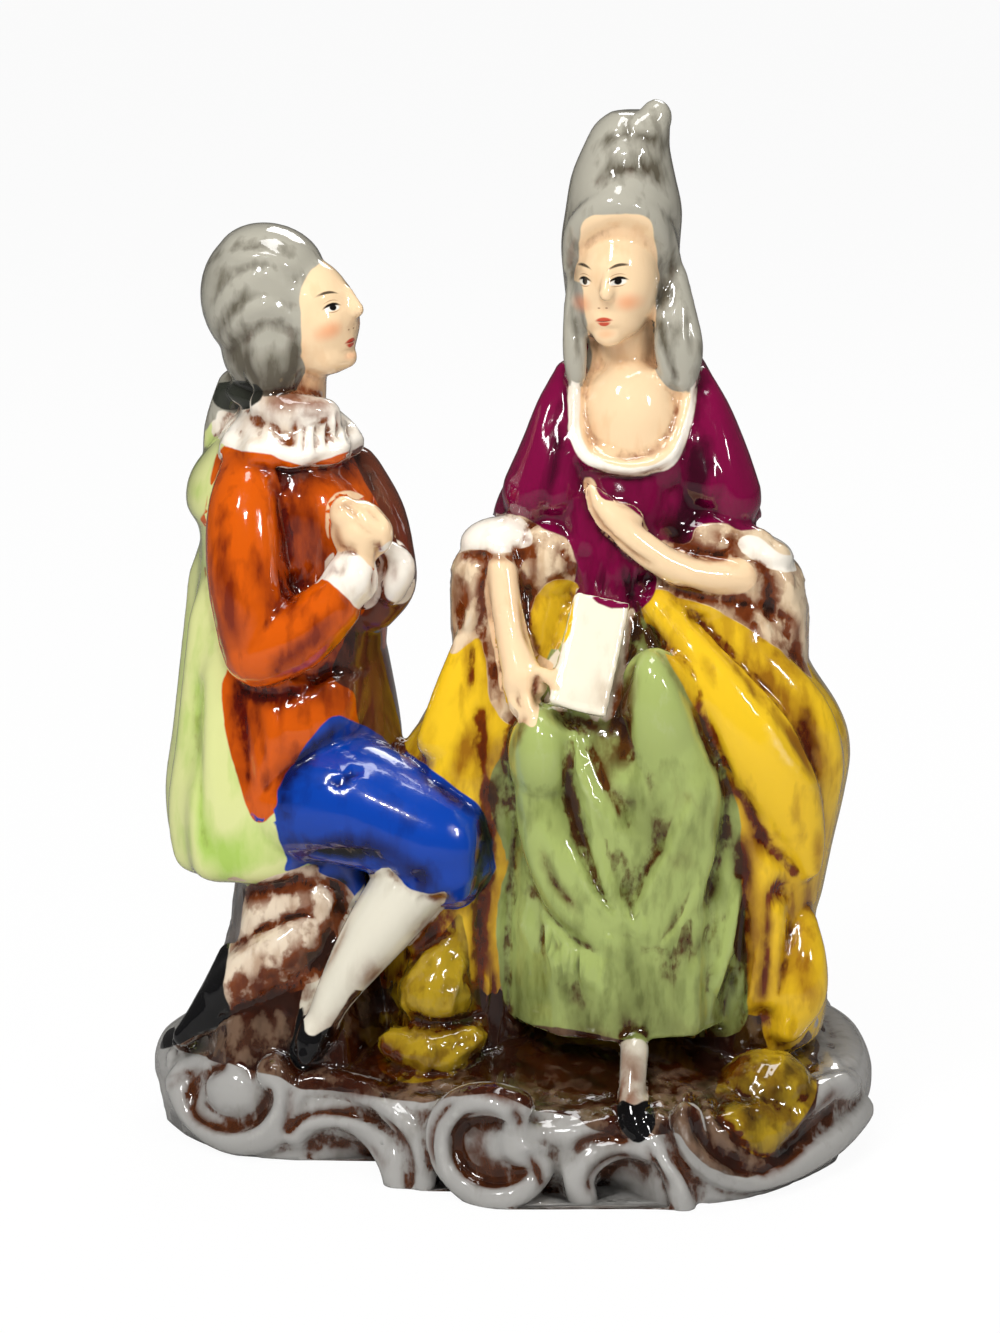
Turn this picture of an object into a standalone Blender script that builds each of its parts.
# Courting couple figurine, cast in one piece of glazed porcelain on a scrolled base.
# Metres, +Z up. The front faces -Y, with the kneeling man at -X and the seated lady at +X.
# The origin is the middle of the flat underside.

import math

import bmesh
import bpy
from mathutils import Euler, Matrix, Vector

# Driving sizes of the real piece
BASE_LENGTH = 0.0530        # along X, over the scrolls
BASE_DEPTH = 0.0388         # along Y, over the scrolls
BASE_HEIGHT = 0.0075        # underside to the ground at the figures' feet
MAN_HEIGHT = 0.0590         # ground to the crown of his wig, kneeling
LADY_HEIGHT = 0.0680        # ground to her top knot, seated
LETTER_LENGTH = 0.0080
LETTER_WIDTH = 0.0048
LETTER_THICKNESS = 0.0009
SCROLL_WIDTH = 0.0021       # of the raised scrolls on the base's wall
FEET_LIFT = 0.0016          # how high the wall is undercut between the feet

# How finely the forms are fused into one casting
FUSE_SIZE = 0.00045         # smallest form that is kept
SKIN_FACES = 9200           # triangles of the finished skin

# The forms below are drawn in millimetres on a piece of these sizes, above an underside
# at zero. Each figure and the base are then scaled to the driving sizes.
DRAWN_LENGTH = 53.0
DRAWN_DEPTH = 38.8
DRAWN_GROUND = 7.5
DRAWN_MAN = 59.0
DRAWN_LADY = 68.0
CUT_BELOW = 2.5             # how far the base runs under its flat cut, drawn millimetres

# The base's plan as drawn millimetres (x, y): the front from left to right, then the back
FRONT_PLAN = [(-26.5, 2.5), (-25.2, -2.4), (-22.7, -6.0), (-19.3, -8.4), (-16.0, -9.2),
              (-12.8, -9.6), (-10.4, -11.0), (-8.4, -13.6), (-5.1, -15.3), (-0.9, -17.6),
              (2.3, -16.7), (4.4, -17.0), (7.6, -16.4), (11.7, -18.3), (14.9, -17.6),
              (18.2, -15.9), (21.6, -12.4), (24.2, -8.6), (26.0, -4.0), (26.5, 0.5)]
BACK_PLAN = [(25.6, 6.0), (22.5, 11.0), (17.5, 14.8), (11.0, 17.0), (3.5, 18.3), (-4.5, 17.6),
             (-12.0, 15.6), (-18.5, 12.8), (-23.6, 8.6)]

# Feet that reach the underside, by their x on the front wall; the wall is undercut between
FRONT_FEET = [(-21.0, 6.5), (-8.4, 1.3), (-0.9, 3.4), (5.0, 1.2), (11.8, 1.3), (19.0, 6.0)]


def smooth_values(values, steps, closed=False):
    """Points on a smooth curve through the given tuples, with steps to a span."""
    count = len(values)
    spans = count if closed else count - 1
    result = []
    for span in range(spans):
        if closed:
            near = [values[(span + k) % count] for k in (-1, 0, 1, 2)]
        else:
            near = [values[max(0, min(count - 1, span + k))] for k in (-1, 0, 1, 2)]
        for step in range(steps):
            t = step / steps
            result.append(tuple(
                0.5 * (2 * b + (c - a) * t + (2 * a - 5 * b + 4 * c - d) * t * t
                       + (3 * b - a - 3 * c + d) * t ** 3)
                for a, b, c, d in zip(*near)))
    if not closed:
        result.append(tuple(values[-1]))
    return result


class Drawing:
    """Collects closed forms, drawn in millimetres, and scales them to the real piece."""

    def __init__(self, scale, foot=(0.0, 0.0)):
        self.mesh = bmesh.new()
        self.scale = Vector(scale)
        self.foot = Vector((foot[0], foot[1], DRAWN_GROUND))

    def place(self, point):
        """A drawn point as metres on the real piece."""
        moved = Vector(point) - self.foot
        x = self.foot.x / DRAWN_LENGTH * BASE_LENGTH + moved.x * self.scale.x
        y = self.foot.y / DRAWN_DEPTH * BASE_DEPTH + moved.y * self.scale.y
        return Vector((x, y, BASE_HEIGHT + moved.z * self.scale.z))

    def loft(self, rings):
        """A closed skin over rings of equally many points, with a point at each end."""
        rows = [[self.mesh.verts.new(self.place(point)) for point in ring] for ring in rings]
        count = len(rings[0])
        for low, high in zip(rows, rows[1:]):
            for k in range(count):
                follow = (k + 1) % count
                self.mesh.faces.new((low[k], low[follow], high[follow], high[k]))
        for ring, row, step in ((rings[0], rows[0], -1), (rings[-1], rows[-1], 1)):
            middle = sum((Vector(point) for point in ring), Vector()) / count
            tip = self.mesh.verts.new(self.place(middle))
            for k in range(count):
                self.mesh.faces.new((row[k], row[(k + step) % count], tip))

    def tube(self, path, sides=14, steps=4, up=(0.0, -1.0, 0.0)):
        """A round-ended limb, lock or fold along (x, y, z, radius[, radius towards up])."""
        path = [tuple(p) if len(p) == 5 else tuple(p) + (p[3],) for p in path]
        line = smooth_values(path, steps)
        centres = [Vector(p[:3]) for p in line]
        sizes = [(p[3], p[4]) for p in line]
        rings = []
        for k, centre in enumerate(centres):
            ahead = centres[min(k + 1, len(centres) - 1)] - centres[max(k - 1, 0)]
            along = ahead.normalized()
            side = along.cross(Vector(up)).normalized()
            over = side.cross(along).normalized()
            caps = [(0.0, 1.0)]
            if k == 0:
                caps = [(-0.95, 0.3), (-0.7, 0.7), (-0.35, 0.94), (0.0, 1.0)]
            if k == len(centres) - 1:
                caps = [(0.0, 1.0), (0.35, 0.94), (0.7, 0.7), (0.95, 0.3)]
            for out, share in caps:
                middle = centre + along * out * min(sizes[k])
                rings.append([middle
                              + side * math.cos(a) * sizes[k][0] * share
                              + over * math.sin(a) * sizes[k][1] * share
                              for a in (math.tau * i / sides for i in range(sides))])
        self.loft(rings)

    def ball(self, centre, size, turn=(0.0, 0.0, 0.0)):
        """An egg-shaped form with its half sizes and its turn in degrees."""
        made = bmesh.ops.create_uvsphere(self.mesh, u_segments=20, v_segments=12, radius=1.0)
        turned = Euler([math.radians(a) for a in turn]).to_matrix() @ Matrix.Diagonal(size)
        for vert in made["verts"]:
            vert.co = self.place(Vector(centre) + turned @ vert.co)

    def drape(self, levels, folds=(), sides=64, steps=4):
        """Cloth round a body through (z, x, y, half width, half depth) levels.

        Each fold is (angle in degrees, width in degrees, height, z from, z to)."""
        rings = []
        for z, x, y, wide, deep in smooth_values(levels, steps):
            ring = []
            for i in range(sides):
                angle = math.tau * i / sides
                out = fold_height(folds, math.degrees(angle), z)
                ring.append((x + (wide + out) * math.cos(angle),
                             y + (deep + out) * math.sin(angle), z))
            rings.append(ring)
        self.loft(rings)


def fold_height(folds, angle, z):
    """How far the folds stand out at an angle and a height."""
    total = 0.0
    for middle, width, height, low, high in folds:
        turn = (angle - middle + 180.0) % 360.0 - 180.0
        reach = min(1.0, max(0.0, (z - min(low, high)) / 3.0 + 0.5))
        reach *= min(1.0, max(0.0, (max(low, high) - z) / 3.0 + 0.5))
        total += height * math.exp(-(turn / width) ** 2) * reach
    return total


# The base

def plan_points(steps=5):
    """The base's outline as a closed smooth curve of drawn (x, y) points."""
    return smooth_values(FRONT_PLAN + BACK_PLAN, steps, closed=True)


def wall_place(x, z, proud):
    """The drawn point on the front wall at x and z, standing proud of it."""
    line = smooth_values(FRONT_PLAN, 6)
    for (ax, ay), (bx, by) in zip(line, line[1:]):
        if ax <= x <= bx:
            t = (x - ax) / (bx - ax)
            out = Vector((by - ay, ax - bx, 0.0)).normalized()
            return Vector((x, ay + (by - ay) * t, z)) + out * proud
    end = line[0] if x < line[0][0] else line[-1]
    return Vector((end[0], end[1], z))


def undercut(x, y):
    """1 where the wall is undercut between two feet, 0 at a foot."""
    if y > 0.0:
        return 0.5 + 0.5 * math.cos(x / 9.0 * math.tau)
    gap = min(abs(x - middle) / half for middle, half in FRONT_FEET)
    return min(1.0, max(0.0, (gap - 0.8) / 0.7))


def base_form(base):
    """The base's body: a rounded wall with feet, and ground that rises to the figures."""
    outline = plan_points()
    lift = FEET_LIFT / BASE_HEIGHT * DRAWN_GROUND
    # (height, inset from the outline, extra inset between the feet)
    wall = [(-CUT_BELOW, 0.7, 2.6), (0.0, 0.6, 2.4), (lift * 0.7, 0.4, 1.1), (lift * 1.4, 0.2, 0.3),
            (3.2, 0.1, 0.0), (5.2, 0.3, 0.0), (6.3, 0.9, 0.0), (6.9, 2.2, 0.0), (7.2, 4.5, 0.0)]
    rings = []
    for z, inset, between in wall:
        ring = []
        for x, y in outline:
            reach = math.hypot(x, y)
            share = 1.0 - (inset + between * undercut(x, y)) / reach
            ring.append((x * share, y * share, z))
        rings.append(ring)
    for share, z in ((0.62, 7.6), (0.4, 8.2), (0.15, 8.6)):
        rings.append([(x * share, y * share, z) for x, y in outline])
    base.loft(rings)


def scroll(base, turns, width=1.0, proud=0.3):
    """A raised scroll on the front wall along (x, z) points."""
    radius = 0.5 * SCROLL_WIDTH * DRAWN_LENGTH / BASE_LENGTH * width
    line = [wall_place(x, z, proud) for x, z in smooth_values(turns, 3)]
    base.tube([tuple(p) + (radius,) for p in line], sides=10, steps=1)


def arc(x, z, wide, tall, start, end, count=8):
    """Points of an oval arc on the wall, with its angles in degrees."""
    angles = [math.radians(start + (end - start) * k / (count - 1)) for k in range(count)]
    return [(x + wide * math.cos(a), z + tall * math.sin(a)) for a in angles]


def scroll_forms(base):
    """The scrolls, shell and bosses of the border."""
    # Left: an oval boss in a ring, and the shell rays behind it
    base.ball(wall_place(-20.4, 4.9, -0.7), (2.3, 1.7, 2.2), (0, 0, -25))
    scroll(base, arc(-20.3, 4.6, 4.1, 3.2, 40, -170), 1.1, 0.2)
    for step in range(3):
        z = 6.9 - 1.5 * step
        start = wall_place(-24.7 - 0.5 * step, z, 0.1)
        base.tube([tuple(start) + (0.7,), (start.x + 1.6, start.y + 3.4, z + 0.7, 0.8)], up=(0.0, 0.0, 1.0))
    # Left arch over its undercut, and the band that ends in the next foot
    scroll(base, [(-15.6, 2.4), (-14.2, 3.7), (-12.0, 3.8), (-10.0, 2.9), (-8.8, 1.6), (-8.3, 0.2)], 0.9)
    scroll(base, [(-16.0, 5.6), (-13.0, 6.0), (-10.0, 5.7), (-7.9, 4.3), (-6.9, 2.4), (-6.6, 0.4)], 0.8, 0.0)
    # Middle: the large open spiral
    scroll(base, arc(-1.4, 4.2, 3.7, 3.6, 62, 330, 12) + [(1.2, 3.4), (0.3, 4.3)], 1.0, 0.35)
    scroll(base, [(0.5, 6.9), (0.4, 5.6), (1.4, 4.9)], 0.7, 0.3)
    # Small foot scrolls and the arch to their right
    scroll(base, [(5.0, 0.2), (4.7, 1.7), (5.6, 3.1), (7.2, 3.9), (9.2, 4.0)], 0.9, 0.3)
    scroll(base, [(2.0, 4.8), (4.2, 4.9), (6.6, 5.4)], 0.8, 0.0)
    scroll(base, [(11.9, 0.3), (11.3, 2.2), (10.0, 4.0), (8.4, 5.0)], 0.8, 0.2)
    # Right: the long double sweep round the mound
    scroll(base, [(12.1, 6.6), (12.9, 4.4), (15.5, 2.2), (19.0, 1.7), (22.5, 2.0), (25.4, 2.8)], 1.0, 0.2)
    scroll(base, [(24.9, 5.2), (22.9, 5.8), (20.6, 4.9)], 0.9, -0.2)
    # Back: plain C scrolls at even places
    for x, y in BACK_PLAN[1:-1:2]:
        out = Vector((x, y, 0.0)).normalized()
        aside = Vector((-out.y, out.x, 0.0))
        middle = Vector((x, y, 3.6)) - out * 0.2
        curl = [middle + aside * 3.0 * math.cos(a) + Vector((0, 0, 2.4 * math.sin(a)))
                for a in (math.radians(200 - 26 * i) for i in range(9))]
        base.tube([tuple(p) + (0.9,) for p in curl], sides=10, steps=2, up=out)


def ground_forms(base):
    """The rock under the man, the mound at the right and the rock that she sits on."""
    base.drape([(5.0, -15.5, 1.5, 8.6, 10.0), (9.0, -15.2, 1.2, 7.4, 9.0),
                (14.0, -15.0, 1.0, 5.9, 7.2), (21.0, -15.2, 1.0, 4.6, 6.0)],
               [(230, 16, 0.8, 5, 20), (290, 14, 0.9, 5, 20), (60, 20, 0.8, 5, 20)], sides=32)
    base.ball((18.0, -10.6, 6.2), (3.5, 3.2, 3.8))
    base.ball((12.2, -14.0, 5.8), (0.9, 2.2, 1.7))
    base.drape([(5.0, 8.0, 4.0, 13.0, 10.5), (14.0, 8.0, 4.0, 12.0, 9.5), (24.0, 8.0, 3.6, 10.5, 8.0)],
               [(100, 18, 1.0, 5, 20), (50, 16, 0.9, 5, 20), (150, 16, 0.9, 5, 20)], sides=32)


# The man

def man_head(man):
    """His head to our right, with a rolled wig tied at the nape."""
    man.tube([(-16.0, 0.2, 51.0, 2.7), (-15.4, 0.0, 57.0, 2.3)])
    man.ball((-14.0, -0.7, 60.2), (3.4, 3.3, 4.6), (0, -8, 0))
    man.ball((-13.0, -1.2, 57.5), (2.1, 2.2, 1.8))
    man.tube([(-11.4, -1.9, 61.8, 0.5), (-10.7, -2.1, 60.6, 0.65)])
    man.ball((-17.5, 0.6, 61.3), (4.7, 4.6, 4.9), (0, -14, 0))
    man.ball((-16.9, 0.4, 63.7), (3.9, 4.0, 2.9), (0, 12, 0))
    man.ball((-18.2, 1.0, 57.9), (3.1, 3.7, 3.1))
    # Rolled side curls and locks swept back
    man.tube([(-15.7, -3.7, 59.6, 1.1), (-17.2, -4.3, 57.4, 1.5), (-17.9, -3.7, 55.6, 1.1)])
    for z, deep in ((59.6, 4.3), (61.8, 4.4), (64.0, 3.7)):
        man.tube([(-14.6, -0.2 - 0.75 * deep, z + 0.5, 0.7), (-17.6, 0.5 - deep, z, 1.1),
                  (-20.8, 0.6 - 0.5 * deep, z - 1.2, 0.8)])
    man.ball((-18.6, 0.8, 54.3), (2.1, 2.4, 1.2))
    man.tube([(-19.8, 2.2, 54.6, 1.3), (-21.0, 3.4, 51.0, 1.2), (-21.4, 3.8, 47.0, 0.8)])


def man_body(man):
    """His coat, sleeves, clasped hands, collar and skirts."""
    man.drape([(30.0, -14.8, 0.3, 5.9, 5.9), (34.0, -14.2, 0.1, 5.4, 5.3), (38.5, -14.4, 0.0, 5.7, 5.2),
               (44.0, -14.9, 0.3, 6.2, 5.7), (47.8, -15.3, 0.4, 5.5, 5.7), (50.2, -15.7, 0.3, 3.9, 4.2)])
    # Ruffled collar with its folds
    collar = []
    for z, wide, deep, wave in ((49.6, 4.6, 4.8, 0.4), (50.6, 5.4, 5.7, 0.5), (51.9, 4.8, 4.9, 0.3),
                                (53.4, 3.2, 3.2, 0.0)):
        collar.append([(-15.8 + (wide + wave * math.cos(11 * a)) * math.cos(a),
                        -0.3 + (deep + wave * math.cos(11 * a)) * math.sin(a),
                        z + 0.8 * wave * math.sin(11 * a) + 0.05 * deep * math.sin(a))
                       for a in (math.tau * i / 66 for i in range(66))])
    man.loft(collar)
    # Near arm, bent up to the chest
    man.tube([(-18.4, -2.8, 48.4, 2.2), (-19.0, -4.6, 45.4, 2.8), (-18.8, -5.6, 40.5, 2.9),
              (-18.0, -5.9, 36.8, 2.8)])
    man.tube([(-18.3, -5.9, 36.9, 2.7), (-15.6, -6.5, 38.2, 2.4), (-12.9, -6.7, 40.0, 2.0)])
    man.tube([(-12.9, -6.8, 40.2, 2.0), (-11.7, -6.8, 41.8, 1.9)])
    man.ball((-10.9, -6.4, 44.5), (2.3, 1.9, 2.6), (0, -15, 0))
    # Far arm and its hand, clasped in the near one
    man.tube([(-11.6, 2.8, 48.4, 2.4), (-10.0, 1.6, 44.5, 2.6), (-9.3, -0.2, 40.6, 2.3)])
    man.tube([(-9.2, -0.4, 40.6, 2.3), (-8.4, -3.0, 41.2, 2.0), (-8.3, -4.6, 41.9, 1.6)])
    man.ball((-9.2, -4.9, 43.4), (1.7, 1.7, 2.0))
    # Skirts of the coat, over the hip and behind
    man.drape([(24.6, -18.2, -3.4, 1.5, 1.7), (27.5, -17.0, -3.8, 3.0, 2.6), (31.5, -15.2, -3.2, 4.6, 3.6),
               (35.0, -14.8, -1.6, 5.0, 4.4)], [(250, 14, 0.5, 24, 33)], sides=32)
    man.drape([(25.5, -13.6, 0.6, 5.6, 5.4), (30.0, -13.6, 0.2, 5.6, 5.4), (36.0, -13.9, 0.2, 4.9, 5.0)])


def man_cape(man):
    """The short cape that falls from his shoulders behind him."""
    folds = [(205, 11, 1.0, 18, 40), (228, 10, 0.9, 18, 36), (170, 12, 1.0, 18, 42),
             (135, 12, 1.1, 18, 44), (100, 12, 1.1, 18, 44), (65, 12, 1.0, 18, 42)]
    man.drape([(19.4, -17.9, 1.2, 4.6, 5.6), (20.6, -18.0, 1.4, 6.0, 7.4), (24.5, -17.8, 1.8, 6.7, 8.2),
               (29.0, -17.4, 2.0, 6.5, 8.0), (34.0, -17.0, 2.2, 6.3, 7.5), (40.0, -17.0, 2.3, 5.6, 6.9),
               (44.2, -17.4, 2.3, 5.1, 6.3), (46.2, -17.6, 2.2, 5.8, 6.2), (48.5, -17.3, 1.9, 5.7, 5.6),
               (51.0, -16.7, 1.2, 4.5, 4.6)],
              folds)


def man_legs(man):
    """Breeches, the near shin and shoe, and the far leg kneeling on the rock."""
    man.tube([(-15.6, -2.6, 25.6, 4.8), (-12.0, -4.4, 25.9, 4.7), (-8.6, -5.6, 24.8, 4.3),
              (-5.6, -6.6, 23.4, 3.8), (-4.8, -6.9, 22.0, 3.1)], sides=18)
    man.tube([(-6.4, -7.2, 20.6, 2.4), (-8.6, -7.8, 17.6, 2.0), (-10.8, -8.1, 14.6, 1.6),
              (-13.0, -8.2, 11.6, 1.1), (-13.9, -8.2, 9.4, 1.1)])
    man.tube([(-14.2, -8.3, 9.0, 1.2), (-14.0, -8.9, 7.0, 1.1), (-13.6, -9.6, 6.3, 0.8)])
    # Far leg: thigh, knee on the ground, calf and shoe towards the left
    man.tube([(-12.5, 2.6, 25.0, 4.2), (-9.5, 2.4, 20.0, 3.8), (-8.6, 1.6, 13.5, 3.2), (-8.8, 1.0, 9.0, 2.8)])
    man.tube([(-10.6, -1.0, 17.2, 2.4), (-14.6, -4.2, 15.6, 2.5), (-18.4, -4.9, 13.2, 2.3),
              (-20.6, -4.6, 11.4, 1.9)])
    man.tube([(-20.8, -4.2, 14.0, 1.0), (-22.0, -4.2, 11.2, 1.6), (-23.4, -4.2, 8.6, 1.6), (-24.3, -4.0, 7.2, 1.0)])


# The lady

def lady_head(lady):
    """Her head, high dressed wig, top knots and hanging curls."""
    lady.tube([(8.4, 0.8, 52.0, 2.6), (8.0, 0.2, 56.0, 2.0), (7.8, 0.0, 60.5, 2.0)])
    lady.ball((7.3, -1.1, 62.8), (3.1, 3.1, 4.3), (0, 4, 0))
    lady.ball((7.1, -1.7, 60.0), (1.9, 2.0, 1.6))
    lady.tube([(6.8, -3.9, 63.7, 0.5), (6.6, -4.3, 62.3, 0.7)])
    lady.drape([(60.0, 7.8, 2.0, 3.8, 3.4), (63.0, 7.7, 1.5, 4.2, 3.9), (66.5, 7.8, 0.9, 4.15, 4.0),
                (69.5, 7.8, 0.6, 3.5, 3.4), (72.0, 8.1, 0.6, 3.0, 2.8), (74.0, 8.4, 0.7, 2.0, 2.0)], sides=28)
    lady.tube([(4.5, -0.2, 63.8, 0.9), (5.0, -2.0, 66.6, 1.0), (7.4, -2.8, 67.9, 1.1),
               (9.8, -2.2, 66.7, 1.0), (10.9, -0.2, 63.8, 0.9)])
    lady.tube([(5.2, -0.4, 70.2, 0.7), (6.5, -1.7, 70.9, 0.9), (8.4, -2.0, 71.2, 0.9), (10.4, -0.6, 70.6, 0.7)])
    lady.ball((9.8, 0.6, 74.1), (1.4, 1.4, 1.4))
    lady.ball((6.9, 0.4, 73.2), (1.5, 1.4, 1.2))
    # Hanging curls
    for x, drift, radius in ((4.3, 0.2, 0.95), (11.4, 1.2, 1.4)):
        lady.tube([(x, 0.2, 62.6, radius), (x + 0.2 * drift, -1.0, 59.4, radius * 1.05),
                   (x + 0.7 * drift, -1.6, 57.0, radius * 1.05), (x + drift, -1.8, 55.2, radius * 0.9)])
    lady.ball((8.0, 2.4, 58.6), (4.3, 2.4, 4.6))


def lady_body(lady):
    """Her bodice, chest, mantle, arms and lace."""
    lady.drape([(54.6, 8.4, 0.6, 5.4, 3.5), (51.5, 8.3, 0.2, 5.4, 4.3), (48.0, 7.8, -0.4, 4.8, 4.7),
                (44.5, 7.2, -1.0, 4.2, 4.3), (41.2, 6.8, -1.6, 4.0, 3.8), (39.0, 7.0, -1.6, 5.4, 4.4)][::-1])
    lady.ball((6.5, -2.2, 50.4), (2.4, 2.3, 2.5))
    lady.ball((10.3, -2.1, 50.6), (2.4, 2.3, 2.5))
    # Mantle round the shoulders, open over the neck
    levels = [(44.4, 8.4, 0.4, 9.4, 5.4), (45.6, 8.4, 0.5, 9.9, 5.9), (48.5, 8.7, 0.8, 9.1, 5.3),
              (51.5, 8.7, 1.1, 7.8, 4.5), (54.5, 8.7, 1.2, 6.3, 3.6), (57.2, 8.6, 1.2, 4.4, 2.6)]
    lady.drape(levels, [(270, 20, -1.6, 30, 70), (330, 12, 0.6, 40, 56), (215, 12, 0.5, 40, 56),
                        (60, 16, 0.7, 40, 56), (120, 16, 0.7, 40, 56)])
    # Edges of the mantle from the neck down to the elbows
    lady.tube([(4.4, -1.4, 56.4, 0.8), (4.0, -2.5, 53.4, 1.2), (3.4, -3.5, 50.2, 1.5), (2.2, -3.9, 47.4, 1.6)])
    lady.tube([(12.6, -1.4, 56.6, 0.8), (13.2, -2.5, 53.4, 1.3), (14.0, -3.6, 50.0, 1.6), (15.2, -4.0, 46.8, 1.6)])
    # Chemise edge round the neckline
    lady.tube([(4.9, -2.0, 56.0, 0.45), (5.0, -3.2, 52.6, 0.55), (6.4, -4.3, 50.6, 0.6), (8.6, -4.6, 50.1, 0.6),
               (11.0, -4.2, 50.8, 0.6), (12.2, -3.0, 53.2, 0.55), (12.3, -1.9, 55.6, 0.45)])
    # Gathered lace and linen between the bodice and both sleeves
    lady.drape([(36.0, 8.2, 0.4, 9.4, 4.6), (40.0, 8.2, 0.2, 9.4, 4.6), (46.4, 8.3, 0.4, 8.6, 4.6)],
               [(235, 6, 0.6, 34, 47), (250, 6, 0.5, 34, 47), (300, 6, 0.5, 34, 47), (318, 6, 0.6, 34, 47)])
    # Our left: puff, lace and forearm with its hand on the letter
    lady.ball((-1.0, -3.1, 45.6), (2.5, 2.4, 1.9), (0, 12, 0))
    lady.drape([(34.6, -1.9, -2.0, 2.2, 2.0), (38.0, -1.7, -2.4, 2.7, 2.5), (42.0, -1.5, -2.7, 2.8, 2.7),
                (45.0, -1.3, -2.9, 2.2, 2.2)], [(300, 16, 0.5, 34, 44), (240, 16, 0.5, 34, 44)], sides=28)
    lady.tube([(-0.5, -4.6, 44.4, 1.6), (-0.3, -6.0, 40.6, 1.5), (0.6, -7.6, 36.8, 1.35), (1.2, -8.7, 34.4, 1.3)])
    lady.tube([(1.2, -8.9, 34.4, 1.5, 1.1), (1.3, -9.7, 32.2, 1.0, 0.7)])
    # Our right: lace round the elbow and the forearm across to the bosom
    lady.drape([(35.6, 19.0, -1.6, 1.8, 2.0), (38.5, 18.6, -2.0, 2.2, 2.5), (42.5, 18.1, -2.4, 2.5, 2.9),
                (45.6, 17.5, -2.6, 2.0, 2.4)], [(300, 16, 0.6, 34, 44), (240, 16, 0.6, 34, 44)], sides=28)
    lady.tube([(17.0, -4.2, 42.6, 1.7), (14.0, -5.8, 42.7, 1.4), (11.0, -6.3, 43.6, 1.25), (8.2, -6.2, 45.8, 1.15),
               (6.9, -6.0, 47.0, 1.0)])
    lady.tube([(6.8, -6.0, 47.0, 1.25, 0.9), (5.4, -5.6, 48.4, 1.1, 0.7)])


def lady_letter(lady):
    """The sheet of paper under her hand."""
    size = DRAWN_LADY / LADY_HEIGHT
    half = Vector((LETTER_WIDTH, LETTER_LENGTH, LETTER_THICKNESS)) * 0.5 * size
    lean = Matrix.Rotation(math.radians(12), 3, "Y") @ Matrix.Rotation(math.radians(62), 3, "X")
    middle = Vector((5.9, -9.0, 37.0))
    for_corners = ((-1, -1), (1, -1), (1, 1), (-1, 1))
    rings = []
    for level in (-1.0, 1.0):
        rings.append([middle + lean @ Vector((sx * half.x, sy * half.y, level * half.z))
                      for sx, sy in for_corners])
    lady.loft(rings)


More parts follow.
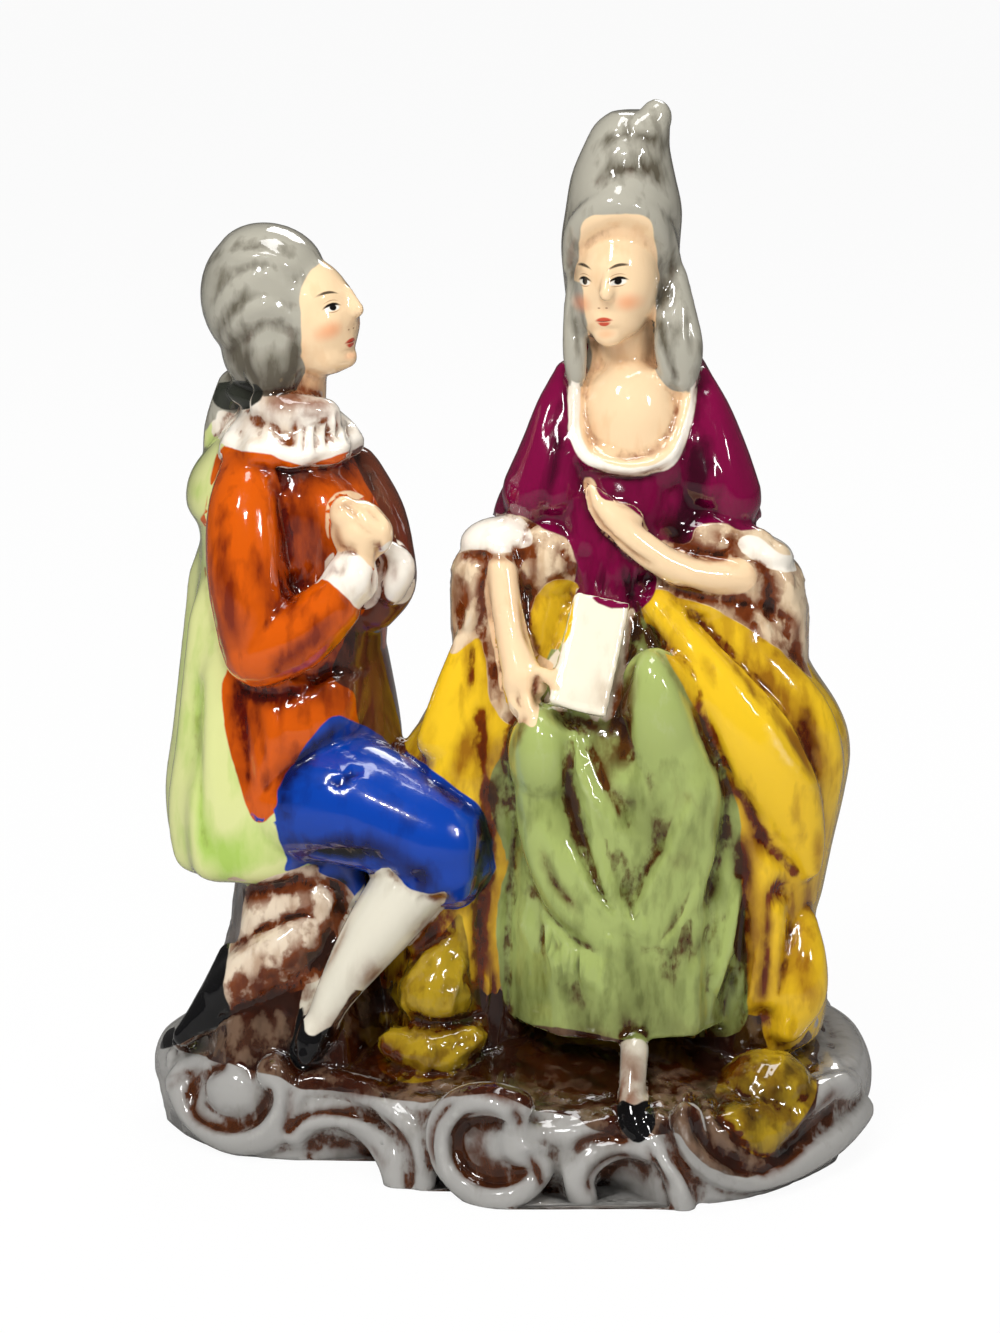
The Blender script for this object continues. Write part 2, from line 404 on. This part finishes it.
def lady_skirts(lady):
    """The underskirt over her knees, and the overskirt swept to both sides."""
    under = [(9.4, 7.9, -4.6, 8.2, 7.6), (14.0, 7.8, -4.4, 8.5, 7.5), (20.0, 7.9, -4.0, 8.7, 7.2),
             (26.0, 7.6, -3.9, 8.5, 7.2), (30.5, 7.3, -3.7, 8.1, 7.2), (33.5, 7.2, -3.4, 7.5, 6.5),
             (36.5, 7.1, -2.7, 6.8, 5.4), (40.0, 7.0, -2.0, 5.6, 4.2)]
    lady.drape(under, [(262, 9, 0.7, 8, 30), (288, 8, 0.7, 8, 24), (305, 7, 0.8, 8, 26), (238, 8, 0.5, 8, 26)])
    lady.ball((2.7, -7.6, 29.4), (3.0, 3.7, 4.8), (14, 0, 0))
    lady.ball((10.4, -7.7, 30.2), (3.3, 3.7, 6.2), (14, 0, 0))
    lady.tube([(10.2, -9.6, 30.0, 2.0), (9.6, -9.8, 22.0, 2.4), (9.4, -9.8, 14.0, 2.6)])
    lady.tube([(2.6, -9.2, 29.0, 1.9), (2.4, -9.6, 22.0, 2.1), (2.8, -9.6, 14.0, 2.3)])
    # Folds that curve down to our right over the shins
    for start, middle, end in (((4.6, -10.0, 31.0), (5.4, -10.7, 27.6), (8.8, -11.2, 23.6)),
                               ((5.4, -10.6, 23.6), (7.0, -11.5, 20.4), (9.6, -11.9, 17.6)),
                               ((1.9, -10.6, 23.0), (3.0, -11.3, 20.0), (5.6, -11.8, 17.4)),
                               ((0.6, -10.4, 18.4), (2.4, -11.5, 16.4), (5.6, -12.0, 14.8)),
                               ((15.8, -8.6, 21.6), (15.2, -9.6, 17.0), (13.9, -10.8, 12.0))):
        lady.tube([start + (0.6,), middle + (0.9,), end + (0.5,)])
    # Overskirt to our right: a broad swag with its falling end
    lady.drape([(7.5, 16.6, -1.0, 5.4, 7.0), (12.0, 16.8, -1.4, 5.6, 7.0), (17.0, 16.9, -1.6, 5.4, 6.8),
                (22.0, 17.0, -1.8, 5.8, 6.9), (27.0, 17.1, -2.0, 6.9, 7.1), (31.0, 17.0, -2.0, 7.2, 6.9),
                (35.5, 15.9, -1.7, 6.0, 6.0), (40.0, 14.6, -1.2, 5.0, 4.8)],
               [(300, 9, 0.9, 6, 22), (335, 9, 0.7, 6, 24), (30, 14, 0.9, 6, 40), (70, 12, 0.9, 6, 40)])
    lady.tube([(9.8, -5.6, 41.2, 1.3), (12.6, -7.6, 37.6, 1.7), (15.6, -8.9, 33.2, 2.0), (18.2, -9.2, 28.4, 2.2),
               (20.2, -8.4, 23.8, 2.0), (21.2, -7.2, 20.2, 1.4)])
    lady.tube([(13.0, -5.0, 40.0, 1.2), (17.0, -6.9, 35.6, 1.6), (20.6, -7.0, 30.4, 1.8), (22.2, -5.6, 25.6, 1.5)])
    lady.tube([(19.6, -7.6, 20.0, 1.6), (20.2, -8.2, 15.6, 1.6), (19.4, -8.6, 11.6, 1.5), (18.8, -8.8, 9.2, 1.0)])
    # Overskirt to our left, down behind his knee to the ground
    lady.drape([(7.5, -3.6, -2.0, 5.6, 6.8), (12.0, -3.7, -2.0, 5.6, 6.6), (18.0, -3.2, -1.8, 5.4, 6.2),
                (25.0, -2.4, -1.6, 5.6, 6.4), (30.0, -1.4, -1.5, 5.9, 6.4), (34.0, -0.2, -1.4, 5.2, 5.8),
                (38.0, 0.6, -1.4, 4.6, 4.8), (41.0, 1.6, -1.2, 4.2, 4.0)],
               [(235, 9, 0.9, 6, 40), (268, 8, 0.8, 6, 40), (140, 14, 0.9, 6, 40), (180, 12, 0.7, 6, 30)])
    # Her seat and the fall of the overskirt behind
    lady.drape([(7.0, 8.0, 3.6, 12.6, 8.6), (16.0, 8.0, 3.4, 11.8, 8.0), (26.0, 8.0, 3.0, 11.0, 7.6),
                (34.0, 8.0, 2.2, 9.6, 6.2), (41.0, 8.0, 1.2, 6.4, 4.6)],
               [(45, 10, 1.0, 6, 38), (70, 10, 1.0, 6, 38), (95, 10, 1.1, 6, 38), (120, 10, 1.0, 6, 38),
                (148, 10, 1.0, 6, 38)])
    # Stocking and shoe under the hem, and the other toe
    lady.tube([(8.6, -10.4, 10.6, 1.2), (8.7, -14.2, 7.6, 1.15), (8.7, -15.6, 5.4, 1.25), (8.6, -15.7, 4.4, 1.1)])
    lady.ball((2.2, -12.4, 7.6), (1.1, 1.6, 0.9))


def outer_skin(mesh):
    """Keeps the largest closed shell of a mesh and drops the rest."""
    left = set(mesh.verts)
    shells = []
    while left:
        shell = set()
        edge = [left.pop()]
        while edge:
            vert = edge.pop()
            shell.add(vert)
            for link in vert.link_edges:
                other = link.other_vert(vert)
                if other in left:
                    left.discard(other)
                    edge.append(other)
        shells.append(shell)
    shells.sort(key=len)
    inner = [vert for shell in shells[:-1] for vert in shell]
    bmesh.ops.delete(mesh, geom=inner, context="VERTS")


def evaluated_mesh(body):
    """The body's mesh with its modifiers taken up."""
    graph = bpy.context.evaluated_depsgraph_get()
    return bpy.data.meshes.new_from_object(body.evaluated_get(graph))


def fused_casting(drawings):
    """Fuses the drawn forms into one closed skin with a flat underside."""
    whole = bmesh.new()
    for drawing in drawings:
        part = bpy.data.meshes.new("form")
        drawing.mesh.to_mesh(part)
        whole.from_mesh(part)
        drawing.mesh.free()
    bmesh.ops.recalc_face_normals(whole, faces=whole.faces)
    mesh = bpy.data.meshes.new("forms")
    whole.to_mesh(mesh)
    whole.free()
    body = bpy.data.objects.new("courting_couple", mesh)
    bpy.context.scene.collection.objects.link(body)
    fuse = body.modifiers.new("Fuse", "REMESH")
    fuse.mode = "VOXEL"
    fuse.voxel_size = FUSE_SIZE
    soften = body.modifiers.new("Soften", "SMOOTH")
    soften.factor = 0.5
    soften.iterations = 2
    body.data = evaluated_mesh(body)
    body.modifiers.clear()
    thin = body.modifiers.new("Thin", "DECIMATE")
    thin.ratio = SKIN_FACES / (2.0 * len(body.data.polygons))
    body.data = evaluated_mesh(body)
    body.modifiers.clear()
    return body


def flatten_underside(body):
    """Cuts the casting flat at z = 0 and centres it over the origin."""
    skin = bmesh.new()
    skin.from_mesh(body.data)
    outer_skin(skin)
    bmesh.ops.bisect_plane(skin, geom=skin.verts[:] + skin.edges[:] + skin.faces[:], dist=1e-7,
                           plane_co=(0, 0, 0), plane_no=(0, 0, -1), clear_outer=True)
    open_edges = [edge for edge in skin.edges if edge.is_boundary]
    bmesh.ops.holes_fill(skin, edges=open_edges)
    bmesh.ops.triangulate(skin, faces=skin.faces[:])
    bmesh.ops.recalc_face_normals(skin, faces=skin.faces)
    low = [min(vert.co[k] for vert in skin.verts) for k in range(2)]
    high = [max(vert.co[k] for vert in skin.verts) for k in range(2)]
    bmesh.ops.translate(skin, verts=skin.verts, vec=(-(low[0] + high[0]) / 2, -(low[1] + high[1]) / 2, 0.0))
    skin.to_mesh(body.data)
    skin.free()


def porcelain():
    """Glazed white porcelain."""
    material = bpy.data.materials.new("Glazed porcelain")
    material.use_nodes = True
    shader = material.node_tree.nodes["Principled BSDF"]
    shader.inputs["Base Color"].default_value = (0.72, 0.69, 0.62, 1.0)
    shader.inputs["Roughness"].default_value = 0.12
    shader.inputs["Metallic"].default_value = 0.0
    return material


def build():
    """Models the whole figurine."""
    for item in list(bpy.data.objects):
        bpy.data.objects.remove(item, do_unlink=True)
    base = Drawing((BASE_LENGTH / DRAWN_LENGTH, BASE_DEPTH / DRAWN_DEPTH, BASE_HEIGHT / DRAWN_GROUND))
    man = Drawing([MAN_HEIGHT / DRAWN_MAN] * 3, foot=(-15.0, -2.0))
    lady = Drawing([LADY_HEIGHT / DRAWN_LADY] * 3, foot=(8.0, -4.0))
    for form in (base_form, scroll_forms, ground_forms):
        form(base)
    for form in (man_head, man_body, man_cape, man_legs):
        form(man)
    for form in (lady_head, lady_body, lady_letter, lady_skirts):
        form(lady)
    body = fused_casting([base, man, lady])
    flatten_underside(body)
    body.data.materials.append(porcelain())
    body.data.shade_smooth()
    body.data.set_sharp_from_angle(angle=math.radians(50))


build()
